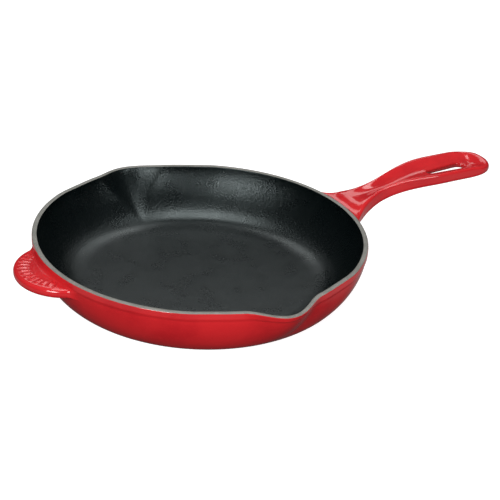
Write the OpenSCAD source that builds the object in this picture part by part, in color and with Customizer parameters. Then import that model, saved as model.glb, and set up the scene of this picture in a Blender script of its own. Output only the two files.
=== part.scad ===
// Enamelled cast iron skillet: one iron casting (bowl with two pour spouts, long handle
// and helper handle) under a grey ground coat, a black interior coat and a red outer coat.
// The origin is the centre of the flat base, +Z is up and +X runs along the long handle.

/* [Bowl] */
// Diameter over the rim, away from the spouts
rim_d = 260; // [180:1:320]
// Height of the rim above the table
rim_h = 44; // [34:1:64]
// Diameter of the flat base
base_d = 203; // [140:1:206]
// Distance from the edge of the base in to the edge of the flat cooking floor
floor_inset = 7.5; // [6:0.5:20]
// Thickness of the finished wall at the rim
wall_t = 4.2; // [3.6:0.1:6.5]
// Thickness of the finished floor
floor_t = 4.5; // [3.5:0.1:6.5]
// Fullness of the wall: low is a straight slope, high is a square corner
wall_curve = 1.6; // [1.3:0.05:2]
// Height of the rounded top of the rim
crown_h = 1.6; // [1:0.1:2.2]
// Height of the thickened band below the rim
band_h = 4.6; // [3:0.1:8]
// How far that band stands out from the wall
band_step = 0.8; // [0.3:0.1:1.5]

/* [Pour spouts] */
// How far each lip stands out past the rim
spout_reach = 11; // [6:0.5:15]
// How far each lip dips below the rim
spout_dip = 2.8; // [1:0.1:4]
// Half of the angle that a lip takes up on the rim
spout_spread = 15; // [11:0.5:19]
// How far the rim draws in on either side of a lip
spout_pinch = 1.3; // [0:0.1:2]
// Height at which the pouring groove starts
spout_foot = 6; // [5:0.5:10]

/* [Handle] */
// Length of the handle from the rim to its tip
handle_l = 144; // [115:1:180]
// Gap from the foot of the rim's rounded top down to the handle where it leaves the wall
root_gap = 0.3; // [0.2:0.1:6]
// Height that the centre line gains up to its crest
handle_rise = 19.7; // [10:0.1:34]
// Distance from that crest to the tip
crest_back = 10; // [5:1:50]
// How far the tip droops below the crest
tip_droop = 1.6; // [0:0.1:6]
// Thickness of the handle where it meets the wall
root_t = 7.2; // [6:0.1:9]
// Thickness of the neck
neck_t = 15; // [12:0.1:18]
// Thickness of the grip over its edges
grip_t = 13; // [11.5:0.1:16]
// Width of the grip at its widest
grip_w = 38; // [30:0.5:46]
// Width of the neck at its narrowest
neck_w = 17; // [14:0.5:24]
// Width of the root where it meets the wall
root_w = 55; // [40:1:72]
// Length over which the root flares out
flare_l = 50; // [30:1:60]
// Length of the rounded tip
tip_l = 20; // [16:1:26]
// Depth of the hollow along the top of the handle
dish_t = 7.6; // [3:0.1:8]
// Depth of the hollow along the underside
dish_b = 1.5; // [0.5:0.1:2.5]

/* [Hanging slot] */
// Length of the finished slot, end to end
slot_l = 38; // [26:1:46]
// Width of its round end towards the tip
slot_w = 10.5; // [7:0.1:14]
// Width of its round end towards the bowl
slot_neck = 5.5; // [4:0.1:7]
// Iron left between the slot and the tip
slot_margin = 20.5; // [18:0.5:34]

/* [Helper handle] */
// Reach of the helper handle past the rim
helper_reach = 22; // [14:0.5:30]
// Radius of its rounded outline
helper_r = 39; // [33:1:48]
// Thickness of the helper handle
helper_t = 7.2; // [6:0.1:9]
// Drop from the rim to the top of the helper handle
helper_drop = 5.8; // [4.5:0.1:8]
// Radius of its rolled edge
helper_edge = 3; // [2:0.1:3]
// Number of raised grip ribs
rib_n = 13; // [5:1:15]
// Length of each rib
rib_l = 8; // [5:0.5:11]
// Radius of each rib
rib_r = 1.2; // [1:0.1:1.6]
// How far the ribs stand up
rib_up = 0.6; // [0.3:0.1:0.8]
// Gap between the ribs and the rolled edge
rib_gap = 0.6; // [0.2:0.1:2]
// Angle that the row of ribs covers
rib_span = 108; // [60:1:120]

/* [Enamel] */
// Thickness of every enamel coat
coat_t = 0.4; // [0.3:0.05:0.6]

/* [Hidden] */
$fn = 96;

rim_r = rim_d / 2;
base_r = base_d / 2;
floor_r = base_r - floor_inset;
spring_z = rim_h - crown_h;
band_z = spring_z - band_h;
band_blend = 1;
handle_z = spring_z - root_gap - root_t / 2;
wall_steps = 7;
inner_steps = 8;
crown_steps = 4;

// ---- The bowl as rings of points ----
// Every ring has one point at each of these angles, close together on the spouts.
spout_zone = 36;
half_turn = [
    for (t = [-spout_zone:4:-18]) t + 90,
    for (t = [-16:2:16]) t + 90,
    for (t = [18:4:spout_zone]) t + 90,
    for (i = [1:18]) 90 + spout_zone + i * (180 - 2 * spout_zone) / 19,
];
angles = concat(half_turn, [for (t = half_turn) t + 180]);

// Depth of the spout at height z, from 0 at the groove's foot to 1 at the rim
function spout_depth(z) = pow(max(0, (z - spout_foot) / (rim_h - spout_foot)), 1.2);

// Share of a lip's full spread at height z: foot_share at the groove's foot, all of it
// from the foot of the crown up, so that the coats meet on one line
function spread_share(z, foot_share) =
    foot_share + (1 - foot_share) * min(1, spout_depth(z) / spout_depth(spring_z));

// Angle from the middle of the nearer spout
function spout_angle(t) = abs(((t % 180) + 180) % 180 - 90);

// A lip narrows towards its foot, and the rim draws in a little beside it.
function lip(a, spread) = a < spread ? pow(cos(90 * a / spread), 2) : 0;
function pinch(a) =
    a > spout_spread * 0.8 && a < spout_zone
    ? pow(sin(180 * (a - spout_spread * 0.8) / (spout_zone - spout_spread * 0.8)), 2)
    : 0;

// The point of the bowl at angle t that a plain turned bowl would have at radius r, height z
function bowl_point(t, r, z, foot_share) =
    let (
        depth = spout_depth(z),
        a = spout_angle(t),
        rise = lip(a, spout_spread * spread_share(z, foot_share)),
        out = r + depth * (spout_reach * rise - spout_pinch * pinch(a))
    )
    [out * cos(t), out * sin(t), z - spout_dip * rise * depth * depth];

// Turned profiles, each at depth d below the finished surface
wall_power = 2 / wall_curve;
function wall_profile(d) = concat(
    [
        for (i = [0:wall_steps])
            let (a = 90 * i / wall_steps)
            [
                base_r + (rim_r - band_step - d - base_r) * pow(sin(a), wall_power),
                d + (band_z - d) * (1 - pow(cos(a), wall_power))
            ]
    ],
    [[rim_r - d, band_z + band_blend], [rim_r - d, spring_z]]
);
function inner_profile(d) = [
    for (i = [inner_steps:-1:0])
        let (a = 90 * i / inner_steps)
        [
            floor_r + (rim_r - wall_t + d - floor_r) * pow(sin(a), wall_power),
            floor_t - d + (spring_z - floor_t + d) * (1 - pow(cos(a), wall_power)),
            "inside"
        ]
];
function crown_profile(d) = [
    for (i = [0:crown_steps])
        let (a = 180 * i / crown_steps)
        [
            rim_r - wall_t / 2 + (wall_t / 2 - d) * sign(cos(a)) * pow(abs(cos(a)), 0.6),
            spring_z + (crown_h - d) * pow(sin(a), 0.6)
        ]
];

// The crown without its two ends, which the wall and the inside already hold
function crown_top(d) = [for (i = [1:crown_steps - 1]) crown_profile(d)[i]];

function reversed(list) = [for (i = [len(list) - 1:-1:0]) list[i]];

// Profile points carry a third value where they follow the pointed groove of the inside.
wall_foot_share = 0.45;
groove_foot_share = 0.12;
function ring_points(profile) = [
    for (p = profile)
        for (t = angles) bowl_point(t, p[0], p[1], len(p) > 2 ? groove_foot_share : wall_foot_share)
];

// Triangles between rings i and j, of n points each. Each four-sided patch is cut from its
// lower ring to its upper one, so that two solids that share a surface share its triangles.
function band_faces(i, j, n, rising) = [
    for (k = [0:n - 1])
        let (a = i * n + k, b = i * n + (k + 1) % n, c = j * n + (k + 1) % n, e = j * n + k)
        each rising ? [[a, e, c], [a, c, b]] : [[a, e, b], [b, e, c]]
];

// A closed solid from an open profile that starts and ends in a flat disc
module bowl_solid(profile) {
    n = len(angles);
    m = len(profile);
    polyhedron(
        ring_points(profile),
        concat(
            [for (i = [0:m - 2]) each band_faces(i, i + 1, n, profile[i + 1][1] > profile[i][1])],
            [[for (k = [0:n - 1]) k]],
            [[for (k = [n - 1:-1:0]) (m - 1) * n + k]]
        )
    );
}

// A closed band from a profile that comes back to its own start
module bowl_band(profile) {
    n = len(angles);
    m = len(profile);
    polyhedron(
        ring_points(profile),
        [
            for (i = [0:m - 1])
                let (j = (i + 1) % m)
                each band_faces(i, j, n, profile[j][1] > profile[i][1])
        ]
    );
}

// All that the outside of the bowl encloses, carried on upwards, to end the handles on the wall
module bowl_blank(d) bowl_solid(concat(wall_profile(d), [[rim_r - d, rim_h + handle_rise]]));

// ---- The long handle as a swept ring ----
handle_rings = 34;
ring_n = 24;
root_in = 12;
square_top = 0.42;
square_under = 0.5;
square_tip = 0.8;
hollow_power = 1.4;
tip_power = 2.4;
rise_power = 5.5;
root_blend = 11;
tip_x = rim_r + handle_l;

// The damped rise of the centre line, 0 at the wall and 1 at the crest
function rise_curve(u) = u <= 0 ? 0 : u >= 1 ? 1 : 1 - pow(1 - u, rise_power) * (1 + rise_power * u);

function centre_z(x) =
    handle_z
    + handle_rise * rise_curve((x - rim_r) / (handle_l - crest_back))
    - tip_droop * pow(max(0, (x - tip_x + crest_back) / crest_back), 2);

function smooth(u) = let (v = min(1, max(0, u))) v * v * (3 - 2 * v);

// How far x is into the tip, from 0 to 1, and the rounding there, from 1 down to 0
function tip_share(x) = max(0, 1 - (tip_x - x) / tip_l);
function tip_round(x) = pow(max(0, 1 - pow(tip_share(x), tip_power)), 1 / tip_power);

// How square a ring is at x: 0.5 is a squarish ring and 1 an ellipse, as near the tip
function squareness(x, free) = free + (square_tip - free) * smooth(1 - (tip_x - x) / (1.4 * tip_l));

// How far the neck has opened into the grip at x, from 0 to 1
function swell(x) = smooth(((x - rim_r) / handle_l - 0.2) / 0.44);

function half_width(x) =
    let (flare = pow(max(0, 1 - (x - rim_r) / flare_l), 3))
    (neck_w + (grip_w - neck_w) * swell(x) + (root_w - neck_w) * min(1, flare)) / 2 * tip_round(x);

function half_thickness(x) =
    let (
        from_root = smooth((x - rim_r) / root_blend),
        free = neck_t + (grip_t - neck_t) * swell(x)
    )
    (root_t + (free - root_t) * from_root) / 2 * (0.25 + 0.75 * pow(tip_round(x), 0.7));

// Each hollow fades out at the wall and at the tip.
function dish_fade(x) = smooth((x - rim_r) / flare_l) * smooth((tip_x - 4 - x) / (tip_l / 2));

// One ring of the handle near x, at depth d below the finished surface
function handle_ring(x, d) =
    let (
        w = max(0.2, half_width(x) - d * tip_round(x)),
        t = half_thickness(x) - d,
        fade = dish_fade(x)
    )
    [
        for (k = [0:ring_n - 1])
            let (
                a = 360 * k / ring_n,
                square = squareness(x, sin(a) > 0 ? square_top : square_under),
                across = sign(cos(a)) * pow(abs(cos(a)), square),
                up = sign(sin(a)) * pow(abs(sin(a)), square),
                hollow = pow(1 - across * across, hollow_power) * fade
            )
            [
                x - d * tip_share(x),
                w * across,
                centre_z(x) + t * up - (up > 0 ? dish_t : -dish_b) * hollow
            ]
    ];

// Rings crowd together towards the tip, where the outline turns.
function ring_x(i) =
    let (u = i / handle_rings, x0 = rim_r - root_in)
    x0 + (tip_x - x0) * (1 - pow(1 - u, 1.5));

module handle_sweep(d) {
    points = [for (i = [0:handle_rings]) each handle_ring(ring_x(i), d)];
    polyhedron(
        points,
        concat(
            [
                for (i = [0:handle_rings - 1])
                    for (k = [0:ring_n - 1])
                        let (
                            a = i * ring_n + k,
                            b = i * ring_n + (k + 1) % ring_n,
                            c = (i + 1) * ring_n + (k + 1) % ring_n,
                            e = (i + 1) * ring_n + k
                        )
                        each [[a, c, b], [a, e, c]]
            ],
            [[for (k = [0:ring_n - 1]) k]],
            [[for (k = [ring_n - 1:-1:0]) handle_rings * ring_n + k]]
        )
    );
}

// The tapered slot through the grip, wider by depth d all round
module slot_cut(d) {
    r0 = slot_neck / 2 + d;
    r1 = slot_w / 2 + d;
    x1 = tip_x - slot_margin - slot_w / 2;
    x0 = tip_x - slot_margin - slot_l + slot_neck / 2;
    top = 2 * rim_h + handle_rise + handle_z;
    lean = asin((r1 - r0) / (x1 - x0));
    translate([x0, 0, 0]) cylinder(r = r0, h = top);
    translate([x1, 0, 0]) cylinder(r = r1, h = top);
    linear_extrude(top)
        polygon([
            for (end = [[x0, r0, 1], [x1, r1, 1], [x1, r1, -1], [x0, r0, -1]])
                [end[0] - end[1] * sin(lean), end[2] * end[1] * cos(lean)]
        ]);
}

module handle_blank(d) {
    difference() {
        handle_sweep(d);
        slot_cut(d);
    }
}

// ---- The helper handle ----
helper_top = rim_h - helper_drop;
helper_x = -(rim_r + helper_reach - helper_r);

// Flat plate with a rolled edge, at depth d below the finished surface
module helper_plate(d) {
    translate([helper_x, 0, helper_top - helper_t]) {
        translate([0, 0, d]) cylinder(r = helper_r - helper_edge, h = helper_t - 2 * d);
        rotate_extrude() {
            translate([helper_r - helper_edge, helper_edge]) circle(r = helper_edge - d);
            translate([helper_r - helper_edge, helper_t - helper_edge]) circle(r = helper_edge - d);
            translate([helper_r - helper_edge, helper_edge])
                square([helper_edge - d, helper_t - 2 * helper_edge]);
        }
    }
}

// Radial grip ribs, half sunk in the top of the plate
module helper_ribs(d) {
    rib_out = helper_r - helper_edge - rib_gap;
    translate([helper_x, 0, helper_top + rib_up - rib_r])
        for (i = [0:rib_n - 1])
            rotate([0, 0, 180 + rib_span * (i / (rib_n - 1) - 0.5)])
                translate([rib_out - rib_l + d, 0, 0])
                    rotate([0, 90, 0]) cylinder(r = rib_r - d, h = rib_l - 2 * d);
}

module helper_blank(d) {
    helper_plate(d);
    helper_ribs(d);
}

// ---- Sub-parts ----
module bowl_casting() {
    color("dimgray")
        bowl_solid(concat(wall_profile(coat_t), crown_top(coat_t), inner_profile(coat_t)));
}

module handle_casting() {
    color("dimgray")
        difference() {
            handle_blank(coat_t);
            bowl_blank(coat_t);
        }
}

module helper_handle_casting() {
    color("dimgray")
        difference() {
            helper_blank(coat_t);
            bowl_blank(coat_t);
        }
}

module rim_ground_coat() {
    color("gray")
        bowl_band(concat(crown_profile(0), reversed(crown_profile(coat_t))));
}

module interior_enamel() {
    color([0.13, 0.15, 0.15])
        bowl_solid(concat(reversed(inner_profile(coat_t)), inner_profile(0)));
}

module bowl_enamel() {
    color("crimson")
        difference() {
            bowl_band(concat(wall_profile(0), reversed(wall_profile(coat_t))));
            handle_blank(coat_t);
            helper_blank(coat_t);
        }
}

module base_enamel() {
    color("crimson")
        linear_extrude(coat_t) polygon([for (t = angles) [base_r * cos(t), base_r * sin(t)]]);
}

module handle_enamel() {
    color("crimson")
        difference() {
            handle_blank(0);
            handle_blank(coat_t);
            bowl_blank(0);
        }
}

module helper_handle_enamel() {
    color("crimson")
        difference() {
            helper_blank(0);
            helper_blank(coat_t);
            bowl_blank(0);
        }
}

bowl_casting();
handle_casting();
helper_handle_casting();
rim_ground_coat();
interior_enamel();
bowl_enamel();
base_enamel();
handle_enamel();
helper_handle_enamel();
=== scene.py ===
# %% [markdown]
# # Enamelled cast iron skillet
# The pan is one iron casting under three glassy coats: a matte grey ground coat left bare on
# the rim, a satin black coat inside and a glossy red coat outside. This lesson builds the
# finished surface once, as one closed skin, and then makes the casting and the coats from it.

# %% Load the frame
import math

import bmesh
import bpy
import numpy as np
from mathutils import Matrix, Vector


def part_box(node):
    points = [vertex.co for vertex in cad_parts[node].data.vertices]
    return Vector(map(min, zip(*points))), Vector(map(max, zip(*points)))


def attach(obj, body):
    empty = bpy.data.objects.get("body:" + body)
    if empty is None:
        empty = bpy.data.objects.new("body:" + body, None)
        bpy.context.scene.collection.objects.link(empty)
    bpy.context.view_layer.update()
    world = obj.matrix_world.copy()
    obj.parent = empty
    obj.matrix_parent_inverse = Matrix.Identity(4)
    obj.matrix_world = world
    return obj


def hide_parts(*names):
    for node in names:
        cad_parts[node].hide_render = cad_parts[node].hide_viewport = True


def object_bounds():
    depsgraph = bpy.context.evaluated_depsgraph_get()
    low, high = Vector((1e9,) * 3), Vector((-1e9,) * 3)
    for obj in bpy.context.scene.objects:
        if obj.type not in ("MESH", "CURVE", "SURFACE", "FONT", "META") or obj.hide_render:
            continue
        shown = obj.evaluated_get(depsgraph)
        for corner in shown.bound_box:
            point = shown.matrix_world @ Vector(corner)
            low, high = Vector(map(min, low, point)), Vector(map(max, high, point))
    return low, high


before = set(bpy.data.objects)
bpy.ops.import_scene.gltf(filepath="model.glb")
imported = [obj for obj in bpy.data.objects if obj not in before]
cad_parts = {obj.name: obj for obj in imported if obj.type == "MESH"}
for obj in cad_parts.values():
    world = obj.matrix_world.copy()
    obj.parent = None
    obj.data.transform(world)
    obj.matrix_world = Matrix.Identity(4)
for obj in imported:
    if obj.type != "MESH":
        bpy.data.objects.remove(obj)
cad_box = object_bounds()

MM = 0.001
print("the frame holds", len(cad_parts), "solids")

# %% [markdown]
# ## Sizes
# Places come from the frame's own solids. The few sizes that no box shows, such as how full the
# wall is, are written here by name. Lengths are in millimetres and turns in degrees until the
# finished skin becomes a mesh. In a name, r is a radius, t a thickness, l a length, h a height
# and w a width.


# %% Measure the frame
def edge_of(node, side, axis):
    """The low side (0) or the high side (1) of a solid's box."""
    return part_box(node)[side][axis] / MM


def turned_radius(node):
    """Half the width of a turned solid, to the half mm, because its flats cut its box short."""
    return round(2 * edge_of(node, 1, 0)) / 2


rim_r = turned_radius("rim_ground_coat")
rim_h = edge_of("rim_ground_coat", 1, 2)
base_r = turned_radius("base_enamel")
coat_t = edge_of("base_enamel", 1, 2)
tip_x = edge_of("handle_enamel", 1, 0)
tab_out = -edge_of("helper_handle_enamel", 0, 0)
tab_low = edge_of("helper_handle_enamel", 0, 2)
rib_up = 0.6  # how far the ribs stand up from the helper handle
tab_high = edge_of("helper_handle_enamel", 1, 2) - rib_up
floor_t = edge_of("interior_enamel", 0, 2) + coat_t
print(f"rim {2 * rim_r:.1f} across and {rim_h:.1f} high")
print(f"long handle to {tip_x:.1f}, helper handle to {tab_out:.1f} from the middle")

# %% Sizes that no box shows
floor_r = base_r - 7.5  # radius of the flat cooking floor
floor_blend = 8.0  # half the width over which the floor turns into the wall
wall_t = 4.2  # wall at the rim, with its coats
wall_power = 1.25  # how full the wall is, where 1 is an ellipse
crown_h = 1.6  # the rounded crown of the rim
crown_power = 0.6  # under 1 is squarer than round
band_h = 4.6  # the plain band under the crown
band_step = 0.8  # how far the band stands out
band_lead = 1.2  # how far under the band its step begins
band_soft = 3.0  # height of the rounded step
spring_z = rim_h - crown_h
band_z = spring_z - band_h
handle_l = tip_x - rim_r
print(f"floor {2 * floor_r:.0f} across, rim band from {band_z:.1f} to {spring_z:.1f}")

# %% [markdown]
# ## The bowl's shape
# A turned bowl is one profile spun round. The two pour spouts are then pulled out of it by one
# rule, which moves every point near a spout outwards and a little down, more the higher it
# lies. The same rule shapes the inside, the outside and the rim, so the wall stays even.

# %% Spout rule
spout_reach = 11  # how far the tip stands out from the rim
spout_dip = 2.8  # how far the rim dips at the tip
spout_foot = 6  # height at which a spout begins
spout_power = 1.2  # how late a spout grows on its way up
spout_spread = 15  # degrees from its middle to its edge, at the rim
spout_pinch = 1.3  # how far the wall beside a spout is drawn in
pinch_from = 0.8  # where that begins, as a share of the spread
spout_zone = 36  # and ends, in degrees from the middle
outer_foot_share = 0.45  # share of its spread that a spout keeps at its foot, outside
inner_foot_share = 0.12  # and inside, where the groove comes to a point


def smooth(u):
    """0 below 0, 1 above 1, and a smooth step between."""
    v = np.clip(u, 0, 1)
    return v * v * (3 - 2 * v)


def spout_depth(z):
    """How much of a spout there is at a height, from 0 at its foot to 1 at the rim."""
    return np.maximum(0, (z - spout_foot) / (rim_h - spout_foot)) ** spout_power


def pour(turn, r, z, foot_share=outer_foot_share):
    """Points at a turn round a bowl with radius r at height z, with the spouts pulled out."""
    turn, r, z = np.broadcast_arrays(turn, r, z)
    depth = spout_depth(z)
    from_spout = np.abs(turn % 180 - 90)
    grown = np.minimum(1, depth / spout_depth(spring_z))
    spread = spout_spread * (foot_share + (1 - foot_share) * grown)
    rise = np.cos(np.pi / 2 * np.minimum(1, from_spout / spread)) ** 2
    inner = pinch_from * spout_spread
    beside = np.clip((from_spout - inner) / (spout_zone - inner), 0, 1)
    out = r + depth * (spout_reach * rise - spout_pinch * np.sin(np.pi * beside) ** 2)
    a = np.radians(turn)
    return np.stack([out * np.cos(a), out * np.sin(a), z - spout_dip * rise * depth**2], -1)


print("tip of a spout at", np.round(pour(90, rim_r, rim_h), 1))


# %% Turned profiles
def wall_radius(z):
    """Radius of the outside at a height, with the step of the rim band."""
    share = np.clip(1 - z / band_z, 0, 1) ** (1 / wall_power)
    curve = base_r + (rim_r - band_step - base_r) * (1 - share**2) ** (wall_power / 2)
    return curve + band_step * smooth((z - band_z + band_lead) / band_soft)


def wall_point(turn, z):
    return pour(turn, wall_radius(z), z)


def inside_height(r):
    """Height of the inside at a radius, averaged over a few millimetres for a soft corner."""
    r = np.asarray(r)[..., None] + np.linspace(-floor_blend, floor_blend, 41)
    share = np.clip((r - floor_r) / (rim_r - wall_t - floor_r), 0, 1) ** (2 / wall_power)
    return floor_t + (spring_z - floor_t) * (1 - (1 - share) ** (wall_power / 2)).mean(-1)


def inside_profile(wall_rows, floor_rows):
    """Radius and height down the inside, from the rim to the flat of the floor."""
    a = np.linspace(np.pi / 2, 0, wall_rows + 1)[1:]
    r = floor_r + (rim_r - wall_t - floor_r) * np.sin(a) ** wall_power
    z = floor_t + (spring_z - floor_t) * (1 - np.cos(a) ** wall_power)
    near_floor = 1 - smooth((r - floor_r - floor_blend) / floor_blend)
    z += near_floor * (inside_height(r) - z)
    r_in = floor_r - np.linspace(0, floor_blend, floor_rows + 1)[1:]
    return np.concatenate([r, r_in]), np.concatenate([z, inside_height(r_in)])


def crown_profile(shares):
    """Radius and height over the rim, from the outside (0) to the inside (1)."""
    a = np.pi * np.asarray(shares)
    across = np.sign(np.cos(a)) * np.abs(np.cos(a)) ** crown_power
    return rim_r - wall_t / 2 * (1 - across), spring_z + crown_h * np.sin(a) ** crown_power


print(f"wall radius at half height {float(wall_radius(rim_h / 2)):.1f}")

# %% [markdown]
# ## A small mesh book
# All points and faces of the skin are kept in one list, so that pieces that meet share their
# points. Each face also carries the name of the coat that covers it.


# %% Mesh book
class Skin:
    """The points and faces of the whole pan."""

    def __init__(self):
        self.points, self.faces, self.coats, self.count = [], [], [], 0

    def add(self, points):
        """Keeps an array of points and gives back their numbers in the same arrangement."""
        points = np.asarray(points, float)
        flat = points.reshape(-1, 3)
        self.points.append(flat)
        numbers = np.arange(self.count, self.count + len(flat)).reshape(points.shape[:-1])
        self.count += len(flat)
        return numbers

    def places(self):
        return np.concatenate(self.points)

    def face(self, coat, *corners):
        self.faces.append([int(c) for c in corners])
        self.coats.append(coat)

    def strip(self, coat, a, b, closed=False):
        """Faces between two rows of points of the same length, which may share points."""
        for k in range(len(a) if closed else len(a) - 1):
            n = (k + 1) % len(a)
            corners = []
            for c in (a[k], a[n], b[n], b[k]):
                if c not in corners:
                    corners.append(c)
            if len(corners) > 2:
                self.face(coat, *corners)


skin = Skin()

# %% Rows up the wall
ROWS = 92
crowd_z = band_z + 0.6  # where the rows stand closest, on the step of the band
crowd_h = 1.2


def row_heights(count):
    """Heights up the plain wall, closer together on the band's step and at the top."""
    z = np.concatenate([np.linspace(0, 1, 60) ** 2, np.linspace(1, spring_z, 400)[1:]])
    step = np.hypot(np.diff(wall_radius(z)), np.diff(z))
    middle = (z[1:] + z[:-1]) / 2
    at_step = np.exp(-(((middle - crowd_z) / crowd_h) ** 2))
    at_top = np.exp(-((middle - spring_z) ** 2))
    run = np.concatenate([[0], np.cumsum(step * (1 + 2 * at_step + at_top))])
    return np.interp(np.linspace(0, run[-1], count + 1), run, z)


def length_share(z):
    """How far up the plain wall each height lies, as a share of the wall's length."""
    fine = np.linspace(0, spring_z, 800)
    step = np.hypot(np.diff(wall_radius(fine)), np.diff(fine))
    run = np.concatenate([[0], np.cumsum(step)])
    return np.interp(z, fine, run) / run[-1]


plain_z = row_heights(ROWS)
plain_share = length_share(plain_z)
print(f"wall rows from {np.diff(plain_z).min():.2f} to {np.diff(plain_z).max():.2f} mm apart")

# %% [markdown]
# ## The helper handle
# The tab opposite the long handle is a round plate with a rolled edge, cast with the wall. Each
# column of the wall runs out along a spoke of that plate, over its edge and back, so the tab
# and the wall are one sheet of points. Every corner of that path is rounded, which gives the
# soft fillets of a sand casting. Low ribs across the plate stand for a grip pattern.

# %% Tab sizes
tab_r = 39.0  # radius of the round plate
tab_x = tab_out - tab_r  # its centre, from the middle of the bowl
tab_edge = 3.0  # radius of its rolled edge
fillet_under = 5.0
fillet_top = 3.0
plan_blend = 5.0  # how softly the plate's outline runs into the wall, seen from above
tab_turn = 79  # the last spoke, in degrees
rib_count = 13
rib_span = 108.0  # degrees from the first rib to the last
rib_pitch = rib_span / (rib_count - 1)
rib_len = 8.0
rib_half = 1.25  # half of a rib's width
rib_gap = 0.6  # from the ribs to the rolled edge
rib_soft = 1.1  # length over which the end of a rib fades
rib_power = 1.4  # how narrow its crest is
print(f"{rib_count} ribs, {rib_pitch:.0f} degrees apart")


# %% Helpers for the tab
def spoke_turn(phi):
    """Where round the wall the spoke at phi from the plate's centre meets it."""
    r = rim_r - band_step
    c = np.cos(np.radians(phi))
    length = -tab_x * c + np.sqrt((tab_x * c) ** 2 + r * r - tab_x**2)
    x = tab_x + length * c
    y = length * np.sin(np.radians(phi))
    return np.degrees(np.arctan2(y, x))


def soft_above(q, k):
    """q where it is well above 0, 0 where it is well below, with a rounded corner between."""
    return np.where(q > k, q, np.where(q < -k, 0, (q + k) ** 2 / (4 * k)))


def length_of(v):
    return np.linalg.norm(v, axis=-1, keepdims=True)


def heading(v):
    """v with a length of 1, or nothing where v has no length."""
    return v / np.maximum(1e-9, length_of(v))


bend_weight = 0.72  # how far a round corner reaches towards the sharp one


def bend(a, b, c, share):
    """The point at a share of the way round a corner from a to c that heads for b."""
    at_a, at_b, at_c = (1 - share) ** 2, 2 * share * (1 - share) * bend_weight, share**2
    return (at_a * a + at_b * b + at_c * c) / (at_a + at_b + at_c)


# %% One column of the tab
# rows on the wall, fillet, underside, edge, rim, edge, top, fillet and wall
SPANS = [33, 8, 9, 7, 2, 7, 15, 6, 5]
assert sum(SPANS) == ROWS
even_below = 0.3  # where the plate stands out less than this, rows lie as on the plain wall
even_fade = 9.0  # and this much further out they follow the plate
round_shares = np.linspace(0, 1, 12)[:, None]
up_z = np.array([0, 0, 1.0])


def tab_column(phi):
    """Points up the wall and over the tab along the spoke at phi, on the +X side."""
    turn = spoke_turn(phi)
    spoke = np.array([math.cos(math.radians(phi)), math.sin(math.radians(phi)), 0])
    rim_point = np.array([tab_x, 0, 0]) + tab_r * spoke

    def edge(z):
        """The plate's edge at a height, and how far it stands out from the wall."""
        w = wall_point(turn, z)
        out = rim_point + z * up_z - w
        q = float(out @ spoke)
        e = float(soft_above(q, plan_blend))
        return w + spoke * e + (out - spoke * q) * min(1, e / plan_blend), e

    low, e_low = edge(tab_low)
    high, e_high = edge(tab_high)
    w_low, w_high = wall_point(turn, tab_low), wall_point(turn, tab_high)
    k_low = min(1, e_low / (fillet_under + tab_edge))
    k_high = min(1, e_high / (fillet_top + tab_edge))
    out_low, out_high = heading(low - w_low), heading(high - w_high)
    z_low, z_high = tab_low - fillet_under * k_low, tab_high + fillet_top * k_high
    under_end = low - out_low * tab_edge * k_low
    rim_low = low + up_z * tab_edge * k_low
    rim_high = high - up_z * tab_edge * k_high
    top_start = high - out_high * tab_edge * k_high
    under_start = w_low + out_low * fillet_under * k_low
    top_end = w_high + out_high * fillet_top * k_high
    pieces = [
        wall_point(turn, np.linspace(0, z_low, 60)),
        bend(wall_point(turn, z_low), w_low, under_start, round_shares),
        under_end[None],
        bend(under_end, low, rim_low, round_shares),
        rim_high[None],
        bend(rim_high, high, top_start, round_shares),
        top_end[None],
        bend(top_end, w_high, wall_point(turn, z_high), round_shares),
        wall_point(turn, np.linspace(z_high, spring_z, 20)),
    ]
    path = np.concatenate(pieces)
    run = np.concatenate([[0], np.cumsum(length_of(np.diff(path, axis=0))[:, 0] + 1e-9)])
    ends = [run[i - 1] for i in np.cumsum([len(p) for p in pieces])]
    stops = [0.0]
    for before, after, n in zip([0.0] + ends[:-1], ends, SPANS):
        stops += list(np.linspace(before, after, n + 1)[1:])
    if e_high > 0:
        even = run[-1] * plain_share
    else:
        even = np.interp(plain_z, path[:, 2], run)
    aligned = smooth((e_high - even_below) / even_fade)
    s = aligned * np.array(stops) + (1 - aligned) * even
    return np.stack([np.interp(s, run, path[:, i]) for i in range(3)], -1), turn


# %% Ribs on the tab
def raise_ribs(points):
    """Lifts the points of the tab's flat top that lie on a rib."""
    x, y, z = points[..., 0] - tab_x, points[..., 1], points[..., 2]
    rho, phi = np.hypot(x, y), np.degrees(np.arctan2(y, x))
    last_rib = (rib_count - 1) / 2
    nearest = np.clip(np.round(phi / rib_pitch), -last_rib, last_rib) * rib_pitch
    aside = rho * np.sin(np.radians(phi - nearest))
    end = tab_r - tab_edge - rib_gap
    along = smooth((end - rho) / rib_soft) * smooth((rho - end + rib_len) / rib_soft)
    crest = np.cos(np.pi / 2 * np.clip(aside / rib_half, -1, 1)) ** rib_power
    on_top = (z > tab_high - rib_up / 2) & (z < tab_high + fillet_top / 2)
    points[..., 2] += np.where(on_top, rib_up * along * crest, 0)
    return points


COLUMNS_PER_RIB, COLUMNS_PAST_RIBS = 10, 33
phis = np.arange(0, (rib_span + rib_pitch) / 2 + 1e-6, rib_pitch / COLUMNS_PER_RIB)
past = np.linspace(phis[-1], tab_turn, COLUMNS_PAST_RIBS + 1)[1:]
phis = np.concatenate([phis, past])
phis = np.concatenate([-phis[:0:-1], phis])
tab_columns = [tab_column(p) for p in phis]
tab_grid = raise_ribs(np.stack([points for points, turn in tab_columns]))
tab_grid[..., :2] *= -1
tab_turns = np.array([turn for points, turn in tab_columns]) + 180
tab_arc = tab_turns[-1] - tab_turns[0]
print(f"the tab takes {len(phis)} columns over {tab_arc:.1f} degrees of the wall")

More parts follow.
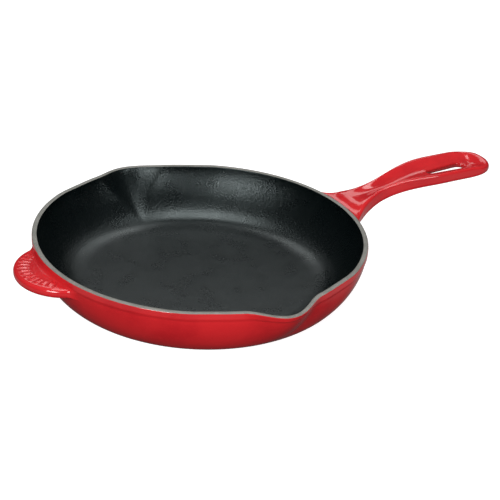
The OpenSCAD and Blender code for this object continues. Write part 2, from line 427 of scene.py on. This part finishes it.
# %% [markdown]
# ## The wall
# The wall is a grid of columns and rows. Columns stand closer together at the spouts. A block
# of the grid is left open at the front, where the long handle grows out of the wall.

# %% Lay out the columns
block_turn = 16.5  # half the width of the open block, in degrees
block_z = 22.0  # its lower edge
BLOCK_COLUMNS, SPOUT_COLUMNS, SIDE_COLUMNS = 40, 72, 24
spout_start, spout_end = 90 - spout_zone, 90 + spout_zone
plain_turns = np.concatenate(
    [
        np.linspace(block_turn, spout_start, SIDE_COLUMNS + 1)[1:],
        np.linspace(spout_start, spout_end, SPOUT_COLUMNS + 1)[1:],
        np.linspace(spout_end, tab_turns[0], SIDE_COLUMNS + 1)[1:-1],
    ]
)
block_turns = np.linspace(-block_turn, block_turn, BLOCK_COLUMNS + 1)
front_half = wall_point(plain_turns[:, None], plain_z[None, :])
back_half = front_half[::-1] * [1, -1, 1]
block = wall_point(block_turns[:, None], plain_z[None, :])
wall = skin.add(np.concatenate([block, front_half, tab_grid, back_half]))
COLUMNS = len(wall)
FIRST_ROW = int(np.searchsorted(plain_z, block_z))
for i in range(COLUMNS):
    j = (i + 1) % COLUMNS
    top = FIRST_ROW if i < BLOCK_COLUMNS else ROWS
    skin.strip("red", wall[j][: top + 1], wall[i][: top + 1])
skin.face("red", *wall[::-1, 0])
print(f"the wall has {COLUMNS} columns and {ROWS} rows")

# %% [markdown]
# ## The long handle
# The handle is swept along its own rising line as a string of soft square rings, hollowed on
# top and a little underneath. Every ring has one point for each point round the open block of
# the wall, so the handle can be joined to the wall with a smooth fillet and no seam.

# %% Handle sizes
root_gap = 0.3  # from the root's top to the crown of the rim
root_t = 7.2
root_w = 55
root_blend = 11  # length over which the root thickens to the neck
neck_t = 15
neck_w = 17
grip_t = 13
grip_w = 38
swell_from = 0.2  # where the neck swells to the grip, as a share of the handle
swell_over = 0.44
flare_l = 50  # length over which the root narrows to the neck
flare_power = 3
tip_l = 20  # length of the rounded tip
tip_power = 2.4  # how square the tip's outline is
tip_thin = 0.25  # share of the thickness that is left at the very tip
tip_thin_power = 0.7
tip_end = 0.15  # half the width of the last ring
handle_z = spring_z - root_gap - root_t / 2
handle_rise = 19.7  # from the root to the crest
rise_power = 5.5  # how early it rises
crest_back = 10  # from the crest to the tip
tip_droop = 1.6  # how far the tip hangs below the crest
dish_t = 7.6  # depth of the hollow on top
dish_b = 1.5  # and of the groove underneath
hollow_power = 1.4
hollow_end = 4  # from the hollow's end to the tip
square_top = 0.42  # 0.5 is a squarish ring and 1 an ellipse
square_under = 0.5
square_tip = 0.8
square_back = 1.4  # where the ring grows rounder, in lengths of the tip
RING_POWER = 4
print(f"handle {handle_l:.0f} long, root at {handle_z:.1f}, crest at {handle_z + handle_rise:.1f}")


# %% The handle's line and outline
def rise_curve(u):
    v = np.clip(u, 0, 1)
    return 1 - (1 - v) ** rise_power * (1 + rise_power * v)


def centre_z(x):
    """Height of the handle's middle line."""
    droop = np.maximum(0, (x - tip_x + crest_back) / crest_back) ** 2
    rise = handle_rise * rise_curve((x - rim_r) / (handle_l - crest_back))
    return handle_z + rise - tip_droop * droop


def tip_round(x):
    """1 along the handle and down to 0 round the tip."""
    share = np.clip(1 - (tip_x - x) / tip_l, 0, 1)
    return (1 - share**tip_power) ** (1 / tip_power)


def swell(x):
    """0 on the neck and 1 on the grip."""
    return smooth(((x - rim_r) / handle_l - swell_from) / swell_over)


def half_width(x):
    flare = np.minimum(1, np.maximum(0, 1 - (x - rim_r) / flare_l) ** flare_power)
    free = neck_w + (grip_w - neck_w) * swell(x) + (root_w - neck_w) * flare
    return np.maximum(tip_end, free / 2 * tip_round(x))


def half_thick(x):
    free = neck_t + (grip_t - neck_t) * swell(x)
    grown = root_t + (free - root_t) * smooth((x - rim_r) / root_blend)
    return grown / 2 * (tip_thin + (1 - tip_thin) * tip_round(x) ** tip_thin_power)


print(f"neck {2 * half_width(rim_r + flare_l):.1f} wide, grip {2 * half_width(tip_x - 35):.1f}")


# %% The handle's rings
def corner_power(x, free):
    """How square a ring is, which changes from free to square_tip near the tip."""
    return free + (square_tip - free) * smooth(1 - (tip_x - x) / (square_back * tip_l))


def hollow(x, across):
    """How much of the hollow there is, from 0 at the edges to 1 on the middle line."""
    fade = smooth((x - rim_r) / flare_l) * smooth((tip_x - hollow_end - x) / (tip_l / 2))
    return np.maximum(0, 1 - across**2) ** hollow_power * fade


def grip_point(x, across, up):
    """The point of the handle at x for a place (across, up) on a soft square of half width 1."""
    x, across, up = np.broadcast_arrays(x, across, up)
    round_by = 2 * corner_power(x, np.where(up > 0, square_top, square_under))
    across = np.sign(across) * np.abs(across) ** round_by
    up = np.sign(up) * np.abs(up) ** round_by
    depth = np.where(up > 0, dish_t, -dish_b) * hollow(x, across)
    return np.stack([x, half_width(x) * across, centre_z(x) + half_thick(x) * up - depth], -1)


def face_z(x, y, side):
    """Height of the handle's top (side 1) or underside (side -1) at a place in plan."""
    power = 2 * corner_power(x, square_top if side > 0 else square_under)
    across = np.clip(np.abs(y / half_width(x)), 0, 1) ** (1 / power)
    return grip_point(x, across, side * (1 - across**RING_POWER) ** (1 / RING_POWER))[..., 2]


# %% Ring points
SIDE = ROWS - FIRST_ROW
line_p = np.linspace(-1, 1, BLOCK_COLUMNS + 1)
line_q = np.linspace(1, -1, SIDE + 1)
ring_p = np.concatenate([line_p[:-1], np.ones(SIDE), line_p[:0:-1], -np.ones(SIDE)])
ends_q = np.ones(BLOCK_COLUMNS)
ring_q = np.concatenate([ends_q, line_q[:-1], -ends_q, line_q[:0:-1]])
RING = len(ring_p)
on_rim = ring_q == 1
squeeze = (ring_p**RING_POWER + ring_q**RING_POWER) ** (-1 / RING_POWER)
across, up = ring_p * squeeze, ring_q * squeeze

top_row = wall[:BLOCK_COLUMNS, ROWS]
right = wall[BLOCK_COLUMNS, ROWS:FIRST_ROW:-1]
bottom = wall[BLOCK_COLUMNS:0:-1, FIRST_ROW]
left = wall[0, FIRST_ROW:ROWS]
outer = np.concatenate([top_row, right, bottom, left])
sides = np.full(SIDE, block_turn)
outer_turn = np.concatenate([block_turns[:-1], sides, block_turns[:0:-1], -sides])
outer_z = np.concatenate(
    [
        np.full(BLOCK_COLUMNS, spring_z),
        plain_z[ROWS:FIRST_ROW:-1],
        np.full(BLOCK_COLUMNS, plain_z[FIRST_ROW]),
        plain_z[FIRST_ROW:ROWS],
    ]
)
assert len(outer) == RING
print(f"each handle ring has {RING} points")

# %% [markdown]
# ## Joining the handle to the wall
# First the open block is narrowed to a rounded window on the wall itself. From the window, each
# line of points leaves along the wall, turns, and arrives along the handle, so both ends are
# tangent. At the top the handle leaves right under the grey rim, with hardly any fillet.

# %% Window on the wall
WINDOW_LOOPS = 5
fillet_root = 5.5  # how far under the handle its fillet begins on the wall
window_taper = 0.13  # how much narrower the window is at its lower edge
round_from = 0.6  # place on the ring, from 1 down to -1, where its corners begin to turn round
low_mix = smooth((round_from - ring_q) / (2 * round_from))
mix = 1 + (squeeze - 1) * low_mix
window_low = handle_z - root_t / 2 - fillet_root
window_turn = block_turn * ring_p * mix * (1 - window_taper * low_mix)
window_z = spring_z + (window_low - spring_z) * (1 - ring_q * mix) / 2
last_loop = outer
for k in range(1, WINDOW_LOOPS + 1):
    share = k / WINDOW_LOOPS
    turn = outer_turn + (window_turn - outer_turn) * share
    z = outer_z + (window_z - outer_z) * share
    loop = skin.add(wall_point(turn, z))
    loop[on_rim] = outer[on_rim]
    skin.strip("red", loop, last_loop, closed=True)
    last_loop = loop
print(f"the window is {spring_z - window_z.min():.1f} high")

# %% Fillet from the wall to the handle
FILLET = 9
pull = 0.6  # how far each end of a line keeps its direction, as a share of its leg
first_x = 3.2, 9.0, 5.5  # where the handle's own shape begins on top, beside and underneath
first_x_corner = 6  # and how much later at its upper corners
root_y, root_z = root_w / 2 * across, handle_z + root_t / 2 * up
root_turn = np.degrees(np.arcsin(root_y / wall_radius(root_z)))
start = rim_r + np.interp(-ring_q, [-1, 0, 1], first_x)
start += first_x_corner * np.abs(ring_p) ** 3 * np.clip(ring_q, 0, 1)
foot = wall_point(window_turn, window_z)
near = 0.05  # a short way from the window to the root, which gives the direction at the wall
look = 0.2  # and a short way along the handle, which gives the direction there
near_foot = wall_point(
    window_turn + (root_turn - window_turn) * near, window_z + (root_z - window_z) * near
)
corner = wall_point(root_turn, root_z)
leave = heading(near_foot - foot) * length_of(corner - foot) * pull
land = grip_point(start, across, up)
beyond = grip_point(start + look, across, up)
arrive = heading(beyond - land) * length_of(land - corner) * pull
for k in range(1, FILLET + 1):
    t = k / FILLET
    b0, b1, b2, b3 = (1 - t) ** 3, 3 * t * (1 - t) ** 2, 3 * t * t * (1 - t), t**3
    loop = skin.add(b0 * foot + b1 * (foot + leave) + b2 * (land - arrive) + b3 * land)
    skin.strip("red", loop, last_loop, closed=True)
    last_loop = loop
print(f"the fillet reaches from {start.min() - rim_r:.1f} to {start.max() - rim_r:.1f} mm out")

# %% [markdown]
# ## The grip and its hanging slot
# The rings run on to the tip and crowd together where the outline turns. The slot is a second
# window: it is opened in the top and in the underside, and the two are joined by a wall with
# well rounded edges, because glass coats chip off sharp ones.

# %% Slot sizes
slot_l = 38.0
slot_w = 10.5  # at its round outer end
slot_neck = 5.5  # and at its round inner end
slot_margin = 20.5  # from the tip to the slot
slot_round = 1.6  # radius of its edges
slot_block = 5.5  # from the slot to the ends of the open block of rings
slot_side = 0.24  # share of the ring's columns left closed on each side
SLOT_LOOPS, EDGE_LOOPS = 5, 7
slot_x0 = tip_x - slot_margin - slot_l + slot_neck / 2
slot_x1 = tip_x - slot_margin - slot_w / 2
print(f"slot {slot_l:.0f} by {slot_w:.1f} and {slot_neck:.1f} mm")

# %% Places of the rings
first_ring = 8  # from the rim
fine_from, fine_to = tip_x - 84, tip_x - 18  # rings stand closer together here, for the slot
tip_crowd = 1.7  # how much they crowd together round the tip
NECK_RINGS, SLOT_RINGS, TIP_RINGS = 39, 48, 29
least_step = 0.1  # rings never stand closer than this
LAG_RINGS = 14  # the first rings keep the uneven start of the fillet, less and less
to_neck = np.linspace(rim_r + first_ring, fine_from, NECK_RINGS + 1)
to_slot = np.linspace(fine_from, fine_to, SLOT_RINGS + 1)[1:]
to_tip = 1 - (1 - np.linspace(0, 1, TIP_RINGS + 1)[1:]) ** tip_crowd
along = np.concatenate([to_neck, to_slot, fine_to + (tip_x - fine_to) * to_tip])
ring_a = int(np.searchsorted(along, slot_x0 - slot_neck / 2 - slot_block))
ring_b = int(np.searchsorted(along, slot_x1 + slot_w / 2 + slot_block))
col_a = int(BLOCK_COLUMNS * slot_side)
col_b = BLOCK_COLUMNS - col_a
low_a, low_b = BLOCK_COLUMNS + SIDE + col_a, BLOCK_COLUMNS + SIDE + col_b
print(f"rings from {along[0]:.0f} to {along[-1]:.0f}, slot window from ring {ring_a} to {ring_b}")

# %% Sweep the rings
rings = [last_loop]
for i, x in enumerate(along[1:], 1):
    ring_x = x + (start - along[0]) * smooth(1 - i / LAG_RINGS)
    ring = skin.add(grip_point(np.maximum(ring_x, start + least_step * i), across, up))
    before = rings[-1]
    for k in range(RING):
        n = (k + 1) % RING
        if not (ring_a < i <= ring_b and (col_a <= k < col_b or low_a <= k < low_b)):
            skin.face("red", before[k], ring[k], ring[n], before[n])
    rings.append(ring)
skin.face("red", *rings[-1])
print(f"{len(rings)} rings of {RING} points")


# %% Open the slot
def slot_radius(middle):
    """Half the slot's width beside a point on its centre line; it tapers towards the bowl."""
    share = (middle[:, :1] - slot_x0) / (slot_x1 - slot_x0)
    return (slot_neck + (slot_w - slot_neck) * share) / 2


def slot_window(k0, k1, side):
    """Narrows the open block of the top or underside to the slot's rounded edge."""
    block_rings = rings[ring_a : ring_b + 1]
    border = [block_rings[0][k] for k in range(k0, k1)]
    border += [r[k1] for r in block_rings[:-1]]
    border += [block_rings[-1][k] for k in range(k1, k0, -1)]
    border += [r[k0] for r in block_rings[:0:-1]]
    plan = skin.places()[border][:, :2]
    middle = np.stack([np.clip(plan[:, 0], slot_x0, slot_x1), 0 * plan[:, 0]], -1)
    out = heading(plan - middle)
    goal = middle + out * (slot_radius(middle) + slot_round)
    last = border
    for k in range(1, SLOT_LOOPS + 1):
        x, y = (plan + (goal - plan) * k / SLOT_LOOPS).T
        loop = skin.add(np.column_stack([x, y, face_z(x, y, side)]))
        skin.strip("red", loop, last, closed=True)
        last = loop
    return last, middle, out


def slot_edge(window, side):
    """Rounds the edge from the handle's face into the slot."""
    loop, middle, out = window
    x, y = (middle + out * slot_radius(middle)).T
    face_points = skin.places()[loop]
    sharp = np.column_stack([x, y, face_z(x, y, side)])
    inner = sharp - side * slot_round * up_z
    last = loop
    for share in np.linspace(0, 1, EDGE_LOOPS + 1)[1:]:
        ring = skin.add(bend(face_points, sharp, inner, share))
        skin.strip("red", ring, last, closed=True)
        last = ring
    return last


top_window, low_window = slot_window(col_a, col_b, 1), slot_window(low_a, low_b, -1)
top_brink, low_brink = slot_edge(top_window, 1), slot_edge(low_window, -1)
# the underside runs the other way round, so it is turned to face the top's points
low_brink = low_brink[::-1]
places = skin.places()
first = int(np.argmin(length_of(places[low_brink] - places[top_brink[0]])))
skin.strip("red", np.roll(low_brink, -first), top_brink, closed=True)
print(f"the slot's wall has {len(top_brink)} points round it")

# %% [markdown]
# ## The rim and the inside
# The crown of the rim is a small rounded profile and the inside is a full curve down to a flat
# floor. They follow the same spout rule as the wall.

# %% Rim and inside
INSIDE_ROWS, BLEND_ROWS, CROWN_ROWS = 46, 6, 16
RED_OVER, BLACK_OVER = 2, 4  # rows of the crown that the red and the black coat reach over
rim_turns = np.concatenate([block_turns, plain_turns, tab_turns, -plain_turns[::-1]])[:, None]
crown_r, crown_z = crown_profile(np.linspace(0, 1, CROWN_ROWS + 1)[1:])
crown = skin.add(pour(rim_turns, crown_r, crown_z))
skin.strip("red", crown[:, 0], wall[:, ROWS], closed=True)
for j in range(CROWN_ROWS - 1):
    coat = "red" if j < RED_OVER else "black" if j >= CROWN_ROWS - 1 - BLACK_OVER else "grey"
    skin.strip(coat, crown[:, j + 1], crown[:, j], closed=True)
in_r, in_z = inside_profile(INSIDE_ROWS, BLEND_ROWS)
inside = skin.add(pour(rim_turns, in_r, in_z, inner_foot_share))
skin.strip("black", inside[:, 0], crown[:, -1], closed=True)
for j in range(len(in_r) - 1):
    skin.strip("black", inside[:, j + 1], inside[:, j], closed=True)
skin.face("black", *inside[:, -1])
print(f"the skin has {skin.count} points and {len(skin.faces)} faces")

# %% Close and check the skin
COATS = ["red", "grey", "black"]
body = bpy.data.meshes.new("skin")
body.from_pydata((skin.places() * MM).tolist(), [], skin.faces)
book = bmesh.new()
book.from_mesh(body)
coat_layer = book.faces.layers.int.new("coat")
for face, coat in zip(book.faces, skin.coats):
    face[coat_layer] = COATS.index(coat)
bmesh.ops.remove_doubles(book, verts=book.verts, dist=1e-7)
unused = [v for v in book.verts if not v.link_faces]
bmesh.ops.delete(book, geom=unused, context="VERTS")
bmesh.ops.recalc_face_normals(book, faces=book.faces)
open_edges = sum(not e.is_manifold for e in book.edges)
volume = book.calc_volume(signed=True)
print(f"{len(unused)} unused points taken out, {len(book.verts)} left")
print(f"open edges {open_edges}, volume {volume * 1e6:.0f} ml, {volume * 7.2e3:.2f} kg if iron")
book.to_mesh(body)

# %% [markdown]
# ## Four pieces from one skin
# The iron is the skin moved inwards by the thickness of a coat. Each coat is its own patch of
# the skin, thickened inwards by the same amount, so it is a closed shell that sits on the iron
# and meets the next coat edge to edge.

# %% Helpers for the pieces
SHARP = math.radians(50)


def new_piece(name, mesh, replaced):
    piece = bpy.data.objects.new(name, mesh)
    bpy.context.scene.collection.objects.link(piece)
    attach(piece, "root")
    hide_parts(*replaced)
    return piece


def settle(piece):
    """Turns a piece's modifiers into its mesh, shaded smooth with its corners crisp."""
    shape = piece.evaluated_get(bpy.context.evaluated_depsgraph_get())
    mesh = bpy.data.meshes.new_from_object(shape)
    piece.modifiers.clear()
    piece.data = mesh
    mesh.polygons.foreach_set("use_smooth", [True] * len(mesh.polygons))
    mesh.set_sharp_from_angle(angle=SHARP)
    print(f"{piece.name}: {len(mesh.polygons)} faces")
    return piece


def make_coat(name, coat, replaced):
    """The patch of the skin that a coat covers, as a closed shell."""
    patch = book.copy()
    layer = patch.faces.layers.int["coat"]
    others = [f for f in patch.faces if f[layer] != COATS.index(coat)]
    bmesh.ops.delete(patch, geom=others, context="FACES")
    mesh = bpy.data.meshes.new(name)
    patch.to_mesh(mesh)
    patch.free()
    piece = new_piece(name, mesh, replaced)
    wrap = piece.modifiers.new("coat", "SOLIDIFY")
    wrap.thickness = coat_t * MM
    wrap.offset = -1
    return settle(piece)


# %% Make the pieces
iron_nodes = ["bowl_casting", "handle_casting", "helper_handle_casting"]
grey_nodes = ["rim_ground_coat"]
black_nodes = ["interior_enamel"]
red_nodes = ["bowl_enamel", "base_enamel", "handle_enamel", "helper_handle_enamel"]

iron = new_piece("iron_casting", body, iron_nodes)
inwards = iron.modifiers.new("under the coats", "DISPLACE")
inwards.mid_level = 0
inwards.strength = -coat_t * MM
settle(iron)
rim_coat = make_coat("rim_ground_coat_skin", "grey", grey_nodes)
inside_coat = make_coat("inside_black_enamel", "black", black_nodes)
red_coat = make_coat("outside_red_enamel", "red", red_nodes)
book.free()

# %% [markdown]
# ## Writing a finish as a recipe
# A finish is a small network of nodes. Three short classes let it be written as a formula: one
# stands for a value on its way through the network, one for the network and one for the recipe
# of a material.


# %% A value on its way
class Flow:
    """A value on its way through a network; sums and products of it add Math nodes."""

    def __init__(self, network, socket):
        self.network, self.socket = network, socket

    def math(self, operation, *values):
        sockets = dict(enumerate(values))
        return self.network.node("ShaderNodeMath", {"operation": operation}, sockets)

    def __add__(self, other):
        return self.math("ADD", self, other)

    def __mul__(self, other):
        return self.math("MULTIPLY", self, other)

    __radd__, __rmul__ = __add__, __mul__

    def clip(self, low, high):
        """0 below low, 1 above high, and a smooth step between."""
        settings = {"interpolation_type": "SMOOTHSTEP"}
        return self.network.node("ShaderNodeMapRange", settings, {0: self, 1: low, 2: high})


# %% A network of nodes
class Network:
    """The nodes of a material or of the world."""

    def __init__(self, tree):
        self.tree = tree

    def node(self, kind, settings=None, values=None, out=0):
        """A new node: its type, its settings, and the values or links of its sockets."""
        made = self.tree.nodes.new(kind)
        for key, value in (settings or {}).items():
            if key == "stops":
                self.set_stops(made.color_ramp.elements, value)
            else:
                setattr(made, key, value)
        for key, value in (values or {}).items():
            self.feed(made.inputs[key], value)
        return Flow(self, made.outputs[out])

    def set_stops(self, elements, stops):
        """Gives a ramp its stops, each a place and a grey."""
        while len(elements) < len(stops):
            elements.new(0.5)
        for element, (place, grey_level) in zip(elements, stops):
            element.position = place
            element.color = (grey_level, grey_level, grey_level, 1)

    def feed(self, socket, value):
        if isinstance(value, Flow):
            self.tree.links.new(value.socket, socket)
        else:
            socket.default_value = value

    def blend(self, share, first, second):
        """A colour between two colours."""
        values = {0: share, 6: first, 7: second}
        return self.node("ShaderNodeMix", {"data_type": "RGBA"}, values, out=2)


# %% A material's recipe
class Recipe(Network):
    """The nodes of one finish."""

    def __init__(self, name, **fixed):
        self.material = bpy.data.materials.new(name)
        self.material.use_nodes = True
        super().__init__(self.material.node_tree)
        self.shader = self.tree.nodes["Principled BSDF"]
        self.place = self.node("ShaderNodeTexCoord", out="Object")
        self.use(**fixed)

    def use(self, **sockets):
        """Feeds the shader's sockets, whose names are written with _ for a space."""
        for name, value in sockets.items():
            self.feed(self.shader.inputs[name.replace("_", " ")], value)

    def noise(self, size_mm, detail=2.0, rough=0.5):
        """Cloudy noise from 0 to 1 whose blotches are about size_mm across."""
        values = {"Vector": self.place, "Scale": 1 / (size_mm * MM)}
        values.update({"Detail": detail, "Roughness": rough})
        return self.node("ShaderNodeTexNoise", None, values)

    def bump(self, height, depth_mm, under=None):
        """A Bump node for a height from 0 to 1 that stands for depth_mm."""
        values = {"Height": height, "Distance": depth_mm * MM, "Strength": 1.0}
        if under:
            values["Normal"] = under
        return self.node("ShaderNodeBump", None, values)

    def report(self):
        print(f"{self.material.name}: {len(self.tree.nodes)} nodes")


def colour(red, green, blue):
    """A colour given as it looks on a screen, from 0 to 255, as the light values nodes use."""
    share = [c / 255 for c in (red, green, blue)]
    return tuple(s / 12.92 if s <= 0.04045 else ((s + 0.055) / 1.055) ** 2.4 for s in share) + (1,)


# %% [markdown]
# ## Red enamel
# Two or three layers of coloured glass are fired over the outside. The glass is smooth and deep
# in colour, pools a little darker in places, and keeps a faint waviness of the sand mould.

# %% Red enamel finish
red = Recipe("red enamel", Roughness=0.1, IOR=1.5)
pool = red.noise(34, 3).clip(0.35, 0.7)
deep = red.blend(pool, colour(207, 38, 43), colour(190, 30, 37))
red.use(
    Base_Color=red.blend(red.noise(2.2, 3).clip(0.45, 0.8) * 0.25, deep, colour(218, 44, 44)),
    Roughness=red.noise(6, 2).clip(0.3, 0.75) * 0.06 + 0.1,
    Normal=red.bump(red.noise(2.6, 2), 0.05, red.bump(red.noise(17, 1), 0.22)),
)
red.report()

# %% [markdown]
# ## Black inside coat
# The inside is a satin black glass that is fired rougher, so that fat can cling to it. Its
# texture is a fine orange peel, which breaks highlights into grains. It is strongest on the
# wall, because on the flat floor the glass settles smoother while it is molten.

# %% Black inside finish
black = Recipe("satin black enamel", Roughness=0.33, IOR=1.5, Specular_Tint=(0.86, 1.0, 1.0, 1))
grain = black.noise(1.5, 3, 0.6)
up_wall = black.node("ShaderNodeSeparateXYZ", None, {0: black.place}, out=2).clip(0.005, 0.014)
black.use(
    Base_Color=black.blend(grain.clip(0.4, 0.7), colour(0, 4, 5), colour(2, 8, 9)),
    Roughness=black.noise(20, 3).clip(0.3, 0.7) * 0.05 + grain.clip(0.4, 0.7) * 0.05 + 0.26,
    Normal=black.bump(grain * (up_wall * 0.8 + 0.2), 0.4, black.bump(black.noise(14, 1), 0.12)),
)
black.report()

# %% [markdown]
# ## Grey ground coat
# The first coat over the iron is a hard, matte grey glass with fine dark and light specks. It
# is left bare on the rim, where a lid or a spoon would chip a glossy coat.

# %% Grey ground coat finish
grey = Recipe("grey ground coat", Roughness=0.5, IOR=1.5)
specks = grey.noise(0.7, 3, 0.7)
tone = grey.blend(grey.noise(8, 2).clip(0.3, 0.7), colour(118, 118, 112), colour(134, 133, 127))
grey.use(
    Base_Color=grey.blend(specks.clip(0.52, 0.7) * 0.6, tone, colour(84, 88, 86)),
    Roughness=specks.clip(0.3, 0.7) * 0.15 + 0.42,
    Normal=grey.bump(specks, 0.05),
)
grey.report()

# %% [markdown]
# ## Bare iron
# The casting is covered everywhere, but it still gets the finish it has under the glass: the
# dull dark skin that sand and scale leave.

# %% Bare iron finish
cast = Recipe("as cast iron", Metallic=0.75, Roughness=0.62)
sand = cast.noise(0.9, 4, 0.65)
scale = cast.noise(12, 3).clip(0.3, 0.7)
cast.use(
    Base_Color=cast.blend(scale, colour(62, 62, 64), colour(84, 80, 78)),
    Roughness=sand.clip(0.3, 0.7) * 0.2 + 0.55,
    Normal=cast.bump(sand, 0.15),
)
cast.report()

# %% [markdown]
# ## Putting the finishes on
# Each piece gets its finish, and so does every solid of the frame that it stands in for, so
# that the hidden solids match the pieces over them.

# %% Put the finishes on
for piece, nodes, recipe in (
    (red_coat, red_nodes, red),
    (inside_coat, black_nodes, black),
    (rim_coat, grey_nodes, grey),
    (iron, iron_nodes, cast),
):
    piece.data.materials.clear()
    piece.data.materials.append(recipe.material)
    for node in nodes:
        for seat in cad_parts[node].material_slots:
            seat.material = recipe.material
    print(f"{recipe.material.name} on {piece.name} and {len(nodes)} solids")

# %% [markdown]
# ## Studio
# A product picture on white: a pale floor, soft light from all round, and large soft panels
# whose reflections draw the edges of the handle and the rim.

# %% Floor
FLOOR_HALF = 6  # metres
FLOOR_GAP = 0.0002  # metres under the base
sheet = bpy.data.meshes.new("floor")
floor_corners = [(-1, -1), (1, -1), (1, 1), (-1, 1)]
sheet.from_pydata([(FLOOR_HALF * x, FLOOR_HALF * y, 0) for x, y in floor_corners], [], [range(4)])
floor = bpy.data.objects.new("floor", sheet)
bpy.context.scene.collection.objects.link(floor)
floor.location.z = cad_box[0].z - FLOOR_GAP
paper = Recipe("studio floor", Roughness=0.9, Base_Color=(0.4, 0.4, 0.4, 1))
paper.use(Emission_Color=(1, 1, 1, 1), Emission_Strength=0.93)
sheet.materials.append(paper.material)
floor.visible_glossy = False
floor.visible_diffuse = False
print(f"floor {2 * FLOOR_HALF} m across at {floor.location.z * 1000:.1f} mm")

# %% Background
# greys from straight down (0) over level (0.5) to straight up (1), which the pan reflects
SKY = ((0.0, 0.03), (0.18, 0.05), (0.3, 0.4), (0.42, 0.22), (0.5, 0.02), (0.66, 0.04), (1.0, 0.18))
world = bpy.data.worlds.new("studio")
bpy.context.scene.world = world
world.use_nodes = True
sky = Network(world.node_tree)
direction = sky.node("ShaderNodeTexCoord", out="Generated")
height = sky.node("ShaderNodeSeparateXYZ", None, {0: direction}, out="Z")
lift = sky.node("ShaderNodeMapRange", None, {0: height, 1: -1, 2: 1})
surround = sky.node("ShaderNodeValToRGB", {"stops": SKY}, {0: lift})
seen_directly = sky.node("ShaderNodeLightPath", out="Is Camera Ray")
backdrop = sky.blend(seen_directly, surround, (1, 1, 1, 1))
sky.feed(sky.tree.nodes["Background"].inputs["Color"], backdrop)
print(f"background of {len(SKY)} greys, seen directly as white")

# %% Camera
TARGET = Vector((0.0645, 0.0311, 0.0))
AZIMUTH, ELEVATION, ROLL = math.radians(-31.5), math.radians(26.97), 0.0625  # in radians
AWAY = 1.2  # metres from the target
SENSOR, LENS = 36, 104.64552  # both in millimetres
level = math.cos(ELEVATION)
ahead = Vector((-math.sin(AZIMUTH) * level, math.cos(AZIMUTH) * level, -math.sin(ELEVATION)))
flat_right = ahead.cross(Vector((0, 0, 1))).normalized()
flat_up = flat_right.cross(ahead)
right = math.cos(ROLL) * flat_right + math.sin(ROLL) * flat_up
upward = -math.sin(ROLL) * flat_right + math.cos(ROLL) * flat_up
camera = bpy.data.objects.new("camera", bpy.data.cameras.new("camera"))
bpy.context.scene.collection.objects.link(camera)
facing = Matrix((right, upward, -ahead)).transposed().to_4x4()
camera.matrix_world = Matrix.Translation(TARGET - AWAY * ahead) @ facing
camera.data.sensor_width = SENSOR
camera.data.lens = LENS
camera.data.clip_start = 0.01
bpy.context.scene.camera = camera
print("camera at", [round(c, 3) for c in camera.matrix_world.translation])


# %% Soft panels
def panel(name, around, up, away, size, light):
    """A soft panel at an angle round from the camera and an angle up, as seen from the pan."""
    a, e = AZIMUTH + math.radians(around), math.radians(up)
    place = Vector((math.sin(a) * math.cos(e), -math.cos(a) * math.cos(e), math.sin(e))) * away
    lamp = bpy.data.lights.new(name, "AREA")
    lamp.shape = "RECTANGLE"
    lamp.size, lamp.size_y = size
    lamp.energy = light * size[0] * size[1] * math.pi
    holder = bpy.data.objects.new(name, lamp)
    bpy.context.scene.collection.objects.link(holder)
    holder.location = place
    holder.rotation_euler = (-place).to_track_quat("-Z", "Y").to_euler()
    print(f"{name}: {size[0]} by {size[1]} m, {lamp.energy:.1f} W")


panel("overhead panel", 180, 84, 1.3, (0.8, 0.5), 6.6)
panel("front left panel", -24, 25, 1.5, (0.5, 0.5), 18.0)
panel("front right panel", 44, 12, 1.5, (0.8, 0.4), 10.5)
panel("back panel", 180, 44, 1.2, (0.9, 0.3), 2.6)

# %% Finish
bpy.context.scene.view_settings.view_transform = "Standard"
print("cad box", [tuple(round(v, 4) for v in c) for c in cad_box])
